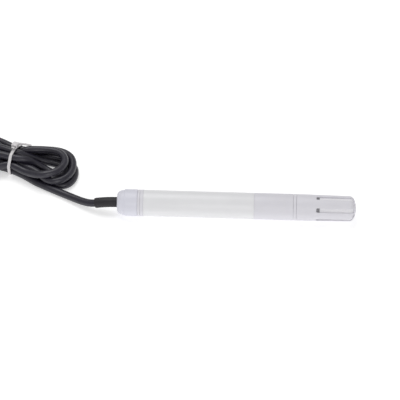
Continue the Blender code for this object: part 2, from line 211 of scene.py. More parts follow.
def plain_look(name, colour, rough, grain, depth, uneven=0.06, metallic=0.0):
    """A moulded or cast surface: cloudy colour, a fine grain and patches of gloss."""
    n = Nodes(name)
    clouds = n.spread(n.noise(90), 0, 1)
    colours = n.blend(clouds, shade(colour, 1 - uneven), shade(colour, 1 + uneven))
    n.link(colours, n.shader.inputs["Base Color"])
    patches = n.noise(260, 4)
    n.link(n.spread(patches, rough - 0.06, rough + 0.06), n.shader.inputs["Roughness"])
    n.bump(n.noise(grain, 2), depth)
    n.shader.inputs["Metallic"].default_value = metallic
    n.shader.inputs["IOR"].default_value = PLASTIC_IOR
    return n.material


def cable_look():
    """Soft PVC: drawn streaks, a bloom of dust, and small scuffs."""
    n = Nodes("cable_pvc")
    dust = n.spread(n.noise(140, 5), 0, 0.35, 0.52, 0.78)
    streaks = n.spread(n.noise(500, 3, (0.12, 1, 1)), 0, 1)
    base = n.blend(streaks, (0.012, 0.011, 0.019), (0.019, 0.017, 0.029))
    n.link(n.blend(dust, base, (0.045, 0.043, 0.058)), n.shader.inputs["Base Color"])
    n.link(n.spread(n.noise(400, 4), 0.27, 0.42), n.shader.inputs["Roughness"])
    n.bump(n.noise(1400, 3, (0.3, 1, 1)), 0.00004)
    n.shader.inputs["IOR"].default_value = CABLE_IOR
    return n.material


def board_look():
    """Green solder mask over copper tracks, with tinned pads."""
    n = Nodes("board_laminate")
    tracks = n.add("ShaderNodeTexBrick", offset=0.5)
    tracks.inputs["Scale"].default_value = 420
    tracks.inputs["Mortar Size"].default_value = 0.035
    tracks.inputs["Color1"].default_value = (0.012, 0.10, 0.045, 1)
    tracks.inputs["Color2"].default_value = (0.018, 0.13, 0.055, 1)
    tracks.inputs["Mortar"].default_value = (0.05, 0.26, 0.10, 1)
    n.link(n.place, tracks.inputs["Vector"])
    pads = n.add("ShaderNodeTexVoronoi")
    pads.inputs["Scale"].default_value = 330
    n.link(n.place, pads.inputs["Vector"])
    pad = n.spread(pads.outputs["Distance"], 1, 0, 0.16, 0.2)
    n.link(n.blend(pad, tracks.outputs["Color"], (0.62, 0.6, 0.55)), n.shader.inputs["Base Color"])
    n.link(n.spread(pad, 0.45, 0.3, 0, 1), n.shader.inputs["Roughness"])
    n.bump(tracks.outputs["Fac"], 0.00004)
    return n.material


def filter_look():
    """Sintered polymer: beads pressed together, matt and a little uneven."""
    n = Nodes("sintered_polymer")
    beads = n.add("ShaderNodeTexVoronoi")
    beads.inputs["Scale"].default_value = 2600
    n.link(n.place, beads.inputs["Vector"])
    shadow = n.spread(beads.outputs["Distance"], 0, 1, 0.15, 0.75)
    n.link(n.blend(shadow, (0.92, 0.91, 0.935), (0.80, 0.79, 0.825)), n.shader.inputs["Base Color"])
    n.link(n.spread(n.noise(900), 0.8, 0.95), n.shader.inputs["Roughness"])
    n.bump(beads.outputs["Distance"], -0.00012)
    return n.material


# For each plain look: its material's name, colour, roughness, grains a metre, depth of the
# grain in metres, unevenness of colour and metallic share.
PLAIN_LOOKS = {
    "white_plastic": ("white_abs", (0.70, 0.69, 0.735), 0.42, 2200, 0.00002, 0.02, 0.0),
    "cap_plastic": ("cap_abs", (0.68, 0.68, 0.75), 0.38, 2200, 0.00002, 0.02, 0.0),
    "label_film": ("label_film_matt", (0.775, 0.775, 0.79), 0.34, 700, 0.00001, 0.015, 0.0),
    "black_rubber": ("black_elastomer", (0.014, 0.0125, 0.016), 0.55, 1800, 0.00005, 0.15, 0.0),
    # The seat gasket's grey is rubber darkened further to paint the shade seen at the rear ends of
    # the slots.
    "grey_rubber_painted_shade": ("grey_silicone_painted_shade", (0.25, 0.245, 0.26), 0.6, 1800, 0.00003, 0.06, 0.0),
    "tie_nylon": ("natural_nylon", (0.66, 0.64, 0.65), 0.33, 1500, 0.00003, 0.05, 0.0),
    "chip_black": ("mould_compound", (0.018, 0.018, 0.019), 0.55, 5000, 0.00002, 0.12, 0.0),
    "bright_metal": ("tinned_copper", (0.72, 0.72, 0.73), 0.28, 3000, 0.00001, 0.06, 1.0),
    "connector_cream": ("cream_nylon", (0.74, 0.70, 0.58), 0.45, 2500, 0.00002, 0.05, 0.0),
    "core_red": ("red_pvc", (0.46, 0.018, 0.016), 0.42, 2000, 0.00002, 0.1, 0.0),
    "core_black": ("black_pvc", (0.02, 0.02, 0.021), 0.42, 2000, 0.00002, 0.1, 0.0),
    "core_yellow": ("yellow_pvc", (0.68, 0.46, 0.03), 0.42, 2000, 0.00002, 0.08, 0.0),
    "core_green": ("green_pvc", (0.025, 0.26, 0.07), 0.42, 2000, 0.00002, 0.1, 0.0),
}


def make_looks():
    looks = {"filter_white": filter_look(), "cable_sheath": cable_look(), "board_green": board_look()}
    for key, settings in PLAIN_LOOKS.items():
        looks[key] = plain_look(*settings)
    return looks


LOOKS = make_looks()
CORES = ("core_red", "core_black", "core_yellow", "core_green")


# Shapes.


def piece(name, mesh, look, body="root", stands_for=(), sharp=35):
    """Files a mesh, in metres, as a piece that rides on a body."""
    obj = bpy.data.objects.new(name, mesh)
    bpy.context.scene.collection.objects.link(obj)
    mesh.materials.clear()
    mesh.materials.append(LOOKS[look])
    mesh.shade_smooth()
    mesh.set_sharp_from_angle(angle=math.radians(sharp))
    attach(obj, body)
    for node in stands_for:
        NODES[node].data.materials.clear()
        NODES[node].data.materials.append(LOOKS[look])
    if stands_for:
        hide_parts(*stands_for)
    return obj


def skin(name, rings, around=False):
    """A closed mesh through rings of points in millimetres.

    With around, the last ring joins the first; otherwise caps close both ends.
    """
    count = len(rings[0])
    shape = bmesh.new()
    rows = [[shape.verts.new(Vector(p) * MM) for p in ring] for ring in rings]
    pairs = list(zip(rows, rows[1:] + rows[:1] if around else rows[1:]))
    for a, b in pairs:
        for i in range(count):
            j = (i + 1) % count
            shape.faces.new((a[i], a[j], b[j], b[i]))
    if not around:
        shape.faces.new(reversed(rows[0]))
        shape.faces.new(rows[-1])
    bmesh.ops.remove_doubles(shape, verts=shape.verts, dist=1e-7)
    bmesh.ops.dissolve_degenerate(shape, edges=shape.edges, dist=1e-8)
    bmesh.ops.recalc_face_normals(shape, faces=shape.faces)
    mesh = bpy.data.meshes.new(name)
    shape.to_mesh(mesh)
    shape.free()
    return mesh


def rounded(corners):
    """A closed outline from (x, y, fillet) corners, with each corner curved."""
    points = []
    for i, (x, y, fillet) in enumerate(corners):
        here = Vector((x, y))
        if not fillet:
            points.append(here)
            continue
        before = Vector(corners[i - 1][:2])
        after = Vector(corners[(i + 1) % len(corners)][:2])
        start = here + (before - here).normalized() * fillet
        end = here + (after - here).normalized() * fillet
        for step in range(FILLET_STEPS + 1):
            t = step / FILLET_STEPS
            points.append(start * (1 - t) ** 2 + here * 2 * t * (1 - t) + end * t**2)
    return [tuple(p) for p in points]


def arc(station, centre_r, long, tall, first, last, steps):
    """Points of an ellipse's arc, as (station, radius); 0 degrees is along +X and 90 outward."""
    points = []
    for i in range(steps + 1):
        turn = math.radians(first + (last - first) * i / steps)
        points.append((station + long * math.cos(turn), centre_r + tall * math.sin(turn)))
    return points


def turned(name, outline):
    """An outline of (station, radius) turned about the probe's axis."""
    rings = []
    for i in range(SMOOTH_ROUND):
        turn = 2 * math.pi * i / SMOOTH_ROUND
        rings.append([at(s, r * math.sin(turn), r * math.cos(turn)) for s, r in outline])
    return skin(name, rings, around=True)


def helix_ridge(name, station, root_r, crest_r, pitch, turns):
    """A thread's ridge, which rises from the wall at its start and sinks into it at its end."""
    steps = int(40 * turns)
    buried = root_r - math.copysign(0.08, crest_r - root_r)
    rings = []
    for i in range(steps + 1):
        share = i / steps
        rise = min(1.0, 10 * share, 10 * (1 - share)) * 0.98 + 0.02
        crest = root_r + (crest_r - root_r) * rise
        turn = 2 * math.pi * turns * share
        middle = station + pitch * turns * share
        section = ((-0.45, buried), (-0.16, crest), (0.16, crest), (0.45, buried))
        rings.append([at(middle + s, -r * math.sin(turn), r * math.cos(turn)) for s, r in section])
    return skin(name, rings)


def frames_along(points):
    """A side and an up direction at each point, carried along without twist."""
    points = [Vector(p) for p in points]
    aheads = []
    for i in range(len(points)):
        aheads.append((points[min(i + 1, len(points) - 1)] - points[max(i - 1, 0)]).normalized())
    side = aheads[0].cross(Vector((0, 0, 1)))
    if side.length < 1e-3:
        side = Vector((0, 1, 0))
    frames = []
    for ahead in aheads:
        side = (side - ahead * side.dot(ahead)).normalized()
        frames.append((side, side.cross(ahead)))
    return frames


def round_bar(name, points, radii, sides=16):
    """A round bar along points, of one radius or one for each point."""
    if isinstance(radii, (int, float)):
        radii = [radii] * len(points)
    rings = []
    for place, radius, (side, up) in zip(points, radii, frames_along(points)):
        ring = []
        for i in range(sides):
            turn = 2 * math.pi * i / sides
            ring.append(Vector(place) + (side * math.cos(turn) + up * math.sin(turn)) * radius)
        rings.append(ring)
    return skin(name, rings)


def smooth_route(points, spacing):
    """Points about spacing apart on a smooth curve through the given ones."""
    points = [Vector(p) for p in points]
    ends = [2 * points[0] - points[1], *points, 2 * points[-1] - points[-2]]
    fine = []
    for before, a, b, after in zip(ends, ends[1:], ends[2:], ends[3:]):
        for i in range(16):
            t = i / 16
            fine.append(
                0.5
                * (
                    2 * a
                    + (b - before) * t
                    + (2 * before - 5 * a + 4 * b - after) * t**2
                    + (3 * a - before - 3 * b + after) * t**3
                )
            )
    fine.append(points[-1])
    walked = np.concatenate(([0], np.cumsum([(q - p).length for p, q in zip(fine, fine[1:])])))
    wanted = np.linspace(0, walked[-1], max(2, round(walked[-1] / spacing) + 1))
    spread = np.array(fine)
    return [Vector([np.interp(w, walked, spread[:, k]) for k in range(3)]) for w in wanted]


def block_mesh(name, low, high, bevel, segments=2):
    """A box between two corners, in millimetres, with rounded edges."""
    low, high = Vector(low), Vector(high)
    shape = bmesh.new()
    bmesh.ops.create_cube(shape, size=1)
    bmesh.ops.scale(shape, vec=(high - low) * MM, verts=shape.verts)
    bmesh.ops.translate(shape, vec=(high + low) / 2 * MM, verts=shape.verts)
    if bevel:
        bmesh.ops.bevel(
            shape,
            geom=shape.edges,
            offset=bevel * MM,
            segments=segments,
            affect="EDGES",
            profile=0.5,
        )
    mesh = bpy.data.meshes.new(name)
    shape.to_mesh(mesh)
    shape.free()
    return mesh


def joined(name, meshes):
    """Several meshes as one."""
    shape = bmesh.new()
    for mesh in meshes:
        shape.from_mesh(mesh)
        bpy.data.meshes.remove(mesh)
    made = bpy.data.meshes.new(name)
    shape.to_mesh(made)
    shape.free()
    return made


def cut(mesh, cutters, bevel=0.0):
    """The mesh with each cutter taken from it, and the new edges eased."""
    obj = bpy.data.objects.new("blank", mesh)
    bpy.context.scene.collection.objects.link(obj)
    used = []
    for cutter in cutters:
        tool = bpy.data.objects.new("cutter", cutter)
        bpy.context.scene.collection.objects.link(tool)
        step = obj.modifiers.new("cut", "BOOLEAN")
        step.operation = "DIFFERENCE"
        step.solver = "EXACT"
        step.object = tool
        used.append(tool)
    if bevel:
        ease = obj.modifiers.new("ease", "BEVEL")
        ease.width = bevel * MM
        ease.segments = 2
        ease.limit_method = "ANGLE"
        ease.angle_limit = math.radians(50)
    bpy.context.view_layer.update()
    shown = obj.evaluated_get(bpy.context.evaluated_depsgraph_get())
    made = bpy.data.meshes.new_from_object(shown)
    for used_up in (obj, *used):
        bpy.data.objects.remove(used_up)
    return made


# Cable.

CORD_STEP = 1.6  # between points of the cable's line
SLEEVE_LENGTH = 13.2
SLEEVE_STRAIGHT = 1.0  # behind the rear cap's face, before the sleeve bends
SLEEVE_DROP_R = 34.0
SLEEVE_TURN_R = 81.0
CORD_START = 12.5  # behind the rear cap's face, inside the sleeve's mouth
TIE = Vector((-137.9, 34.5, 0))
TIE_TURN = math.radians(-17)
TIE_ALONG = Vector((math.cos(TIE_TURN), math.sin(TIE_TURN), 0))
TIE_ACROSS = Vector((-math.sin(TIE_TURN), math.cos(TIE_TURN), 0))

LEAD_ROUTE = [
    (-87.1, 1.3, 5.3),
    (-89.6, 2.15, 4.65),
    (-92.0, 3.3, 4.1),
    (-94.5, 4.75, 3.6),
    (-97.0, 6.3, 3.2),
    (-100.5, 8.4, 2.8),
    (-104.5, 10.7, 2.5),
    (-109.2, 13.3, 2.35),
    (-114.1, 15.9, 2.35),
    (-119.1, 18.6, 2.35),
    (-123.0, 21.0, 2.4),
    (-126.8, 23.5, 2.6),
    (-130.0, 25.7, 2.9),
]
TAIL_ROUTE = [
    (-147.0, 29.4, 7.0),
    (-151.0, 27.0, 4.7),
    (-155.5, 25.6, 3.0),
    (-161.0, 24.9, 2.4),
    (-167.5, 24.7, 2.35),
    (-174.0, 24.9, 2.35),
]
# The four folds at the probe's side of the tie, each from its far strand round to its near one.
FOLD_A = [
    (-128, 41.3, 2.6),
    (-122.9, 43.3, 2.3),
    (-117.4, 43.3, 2.3),
    (-112, 42.3, 2.3),
    (-106.8, 40.6, 2.3),
    (-102.6, 37.6, 2.3),
    (-99.9, 33.3, 2.3),
    (-99.5, 27.4, 2.3),
    (-101, 21.6, 2.3),
    (-104.4, 18.5, 2.3),
    (-108.5, 17.3, 2.3),
    (-113.4, 18.3, 2.3),
    (-118.5, 21.4, 2.3),
    (-124, 26.4, 2.4),
    (-129.5, 31, 2.8),
]
FOLD_B = [
    (-127, 43, 7.2),
    (-120, 45.2, 6.4),
    (-113.5, 45.5, 6.3),
    (-108, 44.2, 6.3),
    (-103.8, 41.2, 6.4),
    (-101.3, 36.6, 6.6),
    (-100.7, 32.2, 6.9),
    (-101.3, 26, 6.9),
    (-104, 21, 6.9),
    (-108.4, 17.6, 6.8),
    (-113.4, 17, 6.6),
    (-118.5, 20, 6.6),
    (-124, 26, 6.9),
    (-130, 29.8, 7.3),
]
FOLD_C = [
    (-128, 40.3, 10.9),
    (-121, 41.2, 10.5),
    (-115, 41.2, 10.4),
    (-110, 40.1, 10.5),
    (-106.6, 36.2, 10.7),
    (-105, 32.3, 10.9),
    (-105.6, 28, 11.2),
    (-108.6, 22.6, 11.3),
    (-113.4, 19.5, 11),
    (-118.5, 18.5, 10.6),
    (-124, 21.6, 8.2),
    (-130, 25.6, 7.4),
]
FOLD_D = [
    (-130.0, 37.2, 9.5),
    (-124.0, 38.8, 5.0),
    (-118.0, 38.6, 2.6),
    (-112.0, 37.6, 2.3),
    (-107.2, 36.2, 2.3),
    (-103.8, 33.6, 2.3),
    (-103.6, 30.0, 2.3),
    (-106.2, 27.4, 2.3),
    (-110.0, 27.0, 2.3),
    (-113.8, 28.8, 2.4),
    (-117.4, 31.2, 3.2),
    (-121.0, 32.7, 4.4),
    (-124.0, 33.0, 5.8),
    (-130.0, 32.3, 9.7),
]
# Each strand's place in the tie, from TIE: across, towards the far side, and up.
ROW_1, ROW_2, ROW_3 = 3.5, 8.1, 12.1
STRANDS = {
    "lead": (-4.6, ROW_1),
    "a_near": (0.0, ROW_1),
    "a_far": (4.6, ROW_1),
    "c_near": (-4.6, ROW_2),
    "b_near": (0.0, ROW_2),
    "c_far": (4.6, ROW_2),
    "b_far": (9.1, ROW_2 - 0.2),
    "d_near": (-2.3, ROW_3),
    "d_far": (2.3, ROW_3),
}
# Middle line, from TIE, of the loops beyond the tie.
LOOP_LINE = [(0, 0), (-9.3, 4.2), (-20, 9.0), (-35, 14.4), (-50, 17.6), (-67.0, 19.2)]


def in_tie(strand):
    across, up = STRANDS[strand]
    return TIE + TIE_ACROSS * across + Vector((0, 0, up))


def loop_strand(strand, radius, height):
    """From the tie out to the loop's round end; a near strand has a negative radius."""
    line = smooth_route([(x, y, 0) for x, y in LOOP_LINE], 9.0)
    start_across, start_up = STRANDS[strand]
    points = []
    for i, middle in enumerate(line[1:], 1):
        share = i / (len(line) - 1)
        eased = share * share * (3 - 2 * share)
        early = min(1.0, 1.4 * share)
        ahead = (line[min(i + 1, len(line) - 1)] - line[i - 1]).normalized()
        out = Vector((ahead.y, -ahead.x, 0))
        across = start_across + (radius - start_across) * eased
        up = start_up + (height - start_up) * early * early * (3 - 2 * early)
        points.append(TIE + middle + out * across + Vector((0, 0, up)))
    return points


def far_loop(near, far, radius, height):
    """A loop beyond the tie: out along its near strand, round, and back."""
    centre = TIE + Vector((*LOOP_LINE[-1], height))
    end = []
    for i in range(1, 12):
        turn = math.radians(-90 - 180 * i / 12)
        end.append(centre + Vector((math.cos(turn), math.sin(turn), 0)) * radius)
    out = loop_strand(near, -radius, height)
    back = loop_strand(far, radius, height)
    return [*out, *end, *reversed(back)]


def sleeve_line(first, last, steps):
    """The cable's line, from first to last millimetres behind the rear cap's face."""
    route = []
    for i in range(steps + 1):
        behind = first + (last - first) * i / steps
        bent = max(0.0, behind - SLEEVE_STRAIGHT)
        route.append(at(-behind, bent**2 / (2 * SLEEVE_TURN_R), -(bent**2) / (2 * SLEEVE_DROP_R)))
    return route


def cord_route():
    """The cable from the sleeve's mouth to its cut end, through every turn of the hank."""
    route = [*sleeve_line(CORD_START, SLEEVE_LENGTH, 2), *LEAD_ROUTE]
    # Near strand, far strand, radius and height of each loop, and the fold after it.
    turns = (
        ("lead", "a_far", 18.4, 2.3, FOLD_A),
        ("a_near", "d_far", 13.8, 2.3, FOLD_D),
        ("d_near", "b_far", 16.1, 6.3, FOLD_B),
        ("b_near", "c_far", 14.5, 10.3, FOLD_C),
    )
    for near, far, radius, height, fold in turns:
        route += [in_tie(near), *far_loop(near, far, radius, height), in_tie(far), *fold]
    route.append(in_tie("c_near"))
    route += TAIL_ROUTE
    return smooth_route(route, CORD_STEP)


SETTLE_ROUNDS = 240
FRESH_PAIRS = 6  # rounds from one search for turns near each other to the next
CONTACT_PASSES = 3  # in each round
CONTACT_GAP = 0.05  # kept between turns that touch
FLOOR_GAP = 0.02
FIXED_START, FIXED_END = 26, 14  # points at the cable's ends that stay on the route
TIE_REACH = 3.0  # either side of the tie's plane
TIE_HOLD = 0.12  # share of the way back to the route made good in each round, near the tie
ROUTE_HOLD = 0.03  # and elsewhere
BEND_STIFFNESS = 0.22
PRESS = 0.35
STRETCH_HOLD = 0.4
LAST_PASSES = 4
LAST_SMOOTHING = 0.4


def settled(route):
    """The cable's points once its turns have pressed each other apart and rest on the floor."""
    guide = np.array([tuple(p) for p in route])
    place = guide.copy()
    count = len(place)
    step = np.linalg.norm(np.diff(guide, axis=0), axis=1)
    gap = 2 * CABLE_R + CONTACT_GAP
    skip = int(3 * gap / step.mean())
    free = np.ones(count, bool)
    free[:FIXED_START] = False
    free[-FIXED_END:] = False
    along = np.abs((guide - np.array(TIE)) @ np.array(TIE_ALONG))
    hold = np.where(along < TIE_REACH, TIE_HOLD, ROUTE_HOLD)[:, None]
    loose = free[:, None]
    for turn in range(SETTLE_ROUNDS):
        if turn % FRESH_PAIRS == 0:
            apart = np.linalg.norm(place[:, None, :] - place[None, :, :], axis=2)
            i, j = np.nonzero(np.triu(apart < 2 * gap, skip))
        middle = (place[:-2] + place[2:]) / 2
        place[1:-1] += BEND_STIFFNESS * (middle - place[1:-1]) * loose[1:-1]
        place += hold * (guide - place) * loose
        for _ in range(CONTACT_PASSES):
            off = place[j] - place[i]
            far = np.linalg.norm(off, axis=1)
            press = np.maximum(0, gap - far) / np.maximum(far, 1e-6) * PRESS
            push = off * press[:, None]
            np.add.at(place, j, push * free[j, None])
            np.add.at(place, i, -push * free[i, None])
            place[:, 2] = np.maximum(place[:, 2], CABLE_R + FLOOR_GAP)
        stretch = np.diff(place, axis=0)
        long = np.linalg.norm(stretch, axis=1)
        pull = stretch * ((long - step) / long * STRETCH_HOLD)[:, None]
        place[:-1] += pull * loose[:-1]
        place[1:] -= pull * loose[1:]
    for _ in range(LAST_PASSES):
        middle = (place[:-2] + place[2:]) / 2
        place[1:-1] += LAST_SMOOTHING * (middle - place[1:-1]) * loose[1:-1]
    return [Vector(p) for p in place]


CORD = settled(cord_route())


def make_cord():
    mesh = round_bar("cable", CORD, CABLE_R, sides=20)
    solids = ("cable_lead", "cable_hank", "cable_tail")
    return piece("cable", mesh, "cable_sheath", stands_for=solids, sharp=60)


def hollow_bar(name, points, outer, inner, lip):
    """A round tube along points, with its outer edges eased by lip at both ends."""
    frames = frames_along(points)
    ahead = [(Vector(b) - Vector(a)).normalized() for a, b in zip(points, points[1:])]

    def ring(i, radius, slide=0.0):
        side, up = frames[i]
        middle = Vector(points[i]) + ahead[min(i, len(ahead) - 1)] * slide
        turns = [2 * math.pi * k / BAR_SIDES for k in range(BAR_SIDES)]
        return [middle + (side * math.cos(t) + up * math.sin(t)) * radius for t in turns]

    last = len(points) - 1
    rings = [ring(0, outer - lip), ring(0, outer - 0.3 * lip, 0.3 * lip), ring(0, outer, lip)]
    rings += [ring(i, outer) for i in range(1, last)]
    rings += [ring(last, outer, -lip), ring(last, outer - 0.3 * lip, -0.3 * lip)]
    rings.append(ring(last, outer - lip))
    rings += [ring(last, inner + 0.5 * lip), ring(last, inner, -0.5 * lip)]
    rings += [ring(i, inner) for i in range(last - 1, -1, -1)]
    return skin(name, rings, around=True)


def make_strain_relief():
    line = [at(9.9), at(6.0), at(3.0), *sleeve_line(0, SLEEVE_LENGTH, 16)]
    sleeve = hollow_bar("strain_relief", line, 3.1, 2.65, 0.3)
    inner = [at(24.0), at(16.0), at(8.0), *sleeve_line(0, CORD_START - 0.3, 12)]
    jacket = round_bar("jacket_end", inner, CABLE_R, sides=24)
    return [
        piece("strain_relief", sleeve, "black_rubber", stands_for=("strain_relief_sleeve",)),
        piece("jacket_end", jacket, "cable_sheath", stands_for=("cable_jacket_end",), sharp=60),
    ]


# Cable tie.

STRAP_WIDE = 1.8
STRAP_THICK = 0.85
HEAD_TILT = math.radians(-20)
HEAD_SIDE = 0.36  # weight of across against up in choosing the head's place
TIE_SPAN = 14.0  # strands are looked for this far to each side of TIE


def tie_place(across, up, along=0.0):
    return TIE + TIE_ACROSS * across + TIE_ALONG * along + Vector((0, 0, up))


def strand_hull(stand_off):
    """The line round all the strands in the tie's plane, as (across, up) about 0.6 apart."""
    rim = []
    for p, q in zip(CORD, CORD[1:]):
        before, after = (p - TIE).dot(TIE_ALONG), (q - TIE).dot(TIE_ALONG)
        if before * after > 0 or before == after:
            continue
        here = p.lerp(q, before / (before - after)) - TIE
        if abs(here.dot(TIE_ACROSS)) > TIE_SPAN:
            continue
        across, up = here.dot(TIE_ACROSS), here.z
        reach = CABLE_R + stand_off
        for i in range(BAR_SIDES):
            turn = 2 * math.pi * i / BAR_SIDES
            rim.append(Vector((across + reach * math.cos(turn), up + reach * math.sin(turn))))
    hull = [rim[i] for i in geometry.convex_hull_2d(rim)]
    closed = [*hull, hull[0]]
    walked = np.concatenate(([0], np.cumsum([(q - p).length for p, q in zip(closed, closed[1:])])))
    wanted = np.linspace(0, walked[-1], int(walked[-1] / 0.6), endpoint=False)
    across, up = zip(*closed)
    return [Vector((np.interp(w, walked, across), np.interp(w, walked, up))) for w in wanted]


def strap_section(middle, out, along):
    """A strap's cross-section, with eased edges and a shallow groove down its outer face."""
    half, thick, ease = STRAP_WIDE / 2, STRAP_THICK, 0.22
    sides = [
        (-half + ease, 0),
        (half - ease, 0),
        (half, ease),
        (half, thick - ease),
        (half - ease, thick),
        (half * 0.45, thick),
        (half * 0.35, thick - 0.14),
        (-half * 0.35, thick - 0.14),
        (-half * 0.45, thick),
        (-half + ease, thick),
        (-half, thick - ease),
        (-half, ease),
    ]
    return [middle + along * x + out * y for x, y in sides]


def make_tie():
    loop = strand_hull(0.06)
    rings = []
    for i, here in enumerate(loop):
        run = (loop[(i + 1) % len(loop)] - loop[i - 1]).normalized()
        out = Vector((run.y, -run.x))
        middle = tie_place(here.x, here.y)
        rings.append(strap_section(middle, TIE_ACROSS * out.x + Vector((0, 0, out.y)), TIE_ALONG))
    mesh = skin("tie_strap", rings, around=True)
    strap = piece("tie_strap", mesh, "tie_nylon", stands_for=("cable_tie",))

    top = max(loop, key=lambda p: p.y + HEAD_SIDE * p.x)
    out = Vector((math.sin(-HEAD_TILT), math.cos(HEAD_TILT)))
    base = tie_place(top.x, top.y)
    up = TIE_ACROSS * out.x + Vector((0, 0, out.y))
    across = TIE_ACROSS * out.y - Vector((0, 0, out.x))
    turn = Matrix((across, TIE_ALONG, up)).transposed().to_4x4()
    low, high = (-2.3, -1.75, STRAP_THICK - 0.1), (2.3, 1.75, 3.9)
    block = block_mesh("tie_head", low, high, 0.5, segments=3)
    passage = block_mesh("passage", (-3, -1.15, 1.5), (3, 1.15, 2.7), 0.15)
    head = cut(block, [passage], bevel=0.12)
    head.transform(Matrix.Translation(base * MM) @ turn)
    made = [strap, piece("tie_head", head, "tie_nylon")]

    exit_up = 1.6
    route = [base + across * a + up * u for a, u in ((-3.4, exit_up), (0, exit_up), (2.4, exit_up))]
    route += [
        base + across * 4.2 + up * 1.5 + TIE_ALONG * 0.8,
        base + across * 5.6 + up * 1.2 + TIE_ALONG * 2.6,
        base + across * 7.0 + up * 0.8 + TIE_ALONG * 5.0,
        base + across * 8.2 + up * 0.3 + TIE_ALONG * 7.6,
    ]
    route = smooth_route(route, 0.7)
    rings = []
    for i, here in enumerate(route):
        ahead = (route[min(i + 1, len(route) - 1)] - route[max(i - 1, 0)]).normalized()
        side = up.cross(ahead).normalized()
        rings.append(strap_section(here, ahead.cross(side), side))
    made.append(piece("tie_tail", skin("tie_tail", rings), "tie_nylon"))
    return made


# Stripped end of the cable.


def make_tail_cores():
    end, before = Vector(TAIL_ROUTE[-1]), Vector(TAIL_ROUTE[-2])
    ahead = (end - before).normalized()
    across = Vector((0, 0, 1)).cross(ahead)
    made = []
    for i, (look, up) in enumerate(zip(CORES, (-0.75, 0.75, 0.75, -0.75))):
        lane = i - 1.5
        start = end + ahead * 0.05 + across * math.copysign(0.75, lane)
        route = [
            start + Vector((0, 0, up)),
            start + ahead * 3 + across * lane * 0.5 + Vector((0, 0, up * 0.9)),
            start + ahead * 11 + across * lane * 1.9 - Vector((0, 0, 1.0)),
            start + ahead * 18 + across * lane * 2.3 - Vector((0, 0, 1.6)),
        ]
        route = smooth_route(route, 0.8)
        name = f"core_{look.split('_')[1]}"
        core = round_bar(name, route, 0.6, sides=14)
        made.append(piece(name, core, look, stands_for=(f"tail_core_{i + 1}",), sharp=60))
        out = (route[-1] - route[-2]).normalized()
        out.z = 0
        first = route[-1] + out * 0.05
        lengths = (0, 0.25, 0.6, 0.9, 2.4, 2.6, 3.6, 3.8, 5.0, 5.2, 6.5, 6.7)
        radii = (0.76, 0.76, 0.7, 0.66, 0.66, 0.58, 0.58, 0.66, 0.66, 0.58, 0.58, 0.5)
        name = f"ferrule_{i + 1}"
        tip = round_bar(name, [first + out * a for a in lengths], radii, sides=16)
        made.append(piece(name, tip, "bright_metal", stands_for=(f"tail_{name}",)))
    return made


# Housing.


def stations(node):
    low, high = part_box(node)
    return low.x / MM - REAR_X, high.x / MM - REAR_X


REAR_CAP_END = stations("rear_cap")[1]
TUBE_START, TUBE_END = stations("probe_tube")
LABEL_START, LABEL_END = stations("label_wrap")
FILTER_CAP_START = stations("filter_cap")[0]
SEAM = 0.07
COLLAR_R = 7.93
FIT = 0.15
PITCH = 1.5
SPIGOT_R = 6.0
SPIGOT_CREST_R = 6.6
NUT_BORE_R = 6.9
NUT_CREST_R = 6.3
REAR_THREAD = 6.4
FRONT_THREAD = 109.4
THREAD_TURNS = 3
CAGE_BORE_R = 7.1
FILTER_R = 7.02
FILTER_START = 121.9
DOME_START = 140.0
SLOTS = 6
SLOT_WIDTH = 2.65
SLOT_START = 120.0
SLOT_END = 143.0
SLOT_TURN = 57.4  # degrees from the top, over the near side, to a slot
VENT_R = 5.7
VENT_WIDTH = 2.8
VENT_HEIGHT = 2.2


def turned_piece(name, outline, look, node, body="root"):
    piece(name, turned(name, rounded(outline)), look, body, stands_for=(node,))


def thread_piece(name, start, root_r, crest_r, look, body="root"):
    piece(name, helix_ridge(name, start, root_r, crest_r, PITCH, THREAD_TURNS), look, body)


def make_tube():
    bed_start, bed_end, bed_r = LABEL_START - 0.12, LABEL_END + 0.12, TUBE_R - 0.3
    outline = [
        (TUBE_START, BORE_R, 0.2),
        (TUBE_END, BORE_R, 0.2),
        (TUBE_END, TUBE_R, 0.3),
        (bed_end, TUBE_R, 0.08),
        (bed_end, bed_r, 0),
        (bed_start, bed_r, 0),
        (bed_start, TUBE_R, 0.08),
        (TUBE_START, TUBE_R, 0.3),
    ]
    turned_piece("tube_shell", outline, "white_plastic", "probe_tube")
    outline = [
        (LABEL_START, bed_r + 0.02, 0),
        (LABEL_END, bed_r + 0.02, 0),
        (LABEL_END, TUBE_R + 0.02, 0.06),
        (LABEL_START, TUBE_R + 0.02, 0.06),
    ]
    turned_piece("label_sheet", outline, "label_film", "label_wrap")


def make_rear_cap():
    shoulder, face_r, dome_r = 4.4, 4.6, CAP_R - 0.45
    dome = [(s, r, 0) for s, r in arc(shoulder, face_r, -shoulder, dome_r - face_r, 90, 0, 16)]
    outline = [
        (0, 3.5, 0.35),
        (3.2, 3.5, 0),
        (3.2, NUT_BORE_R, 0),
        (REAR_CAP_END, NUT_BORE_R, 0.25),
        (REAR_CAP_END, CAP_R, 0.45),
        (shoulder + 0.25, CAP_R, 0.15),
        *dome,
    ]
    turned_piece("rear_nut", outline, "cap_plastic", "rear_cap", "rear_cap")
    start = REAR_THREAD + PITCH / 2
    thread_piece("rear_nut_thread", start, NUT_BORE_R, NUT_CREST_R, "cap_plastic", "rear_cap")


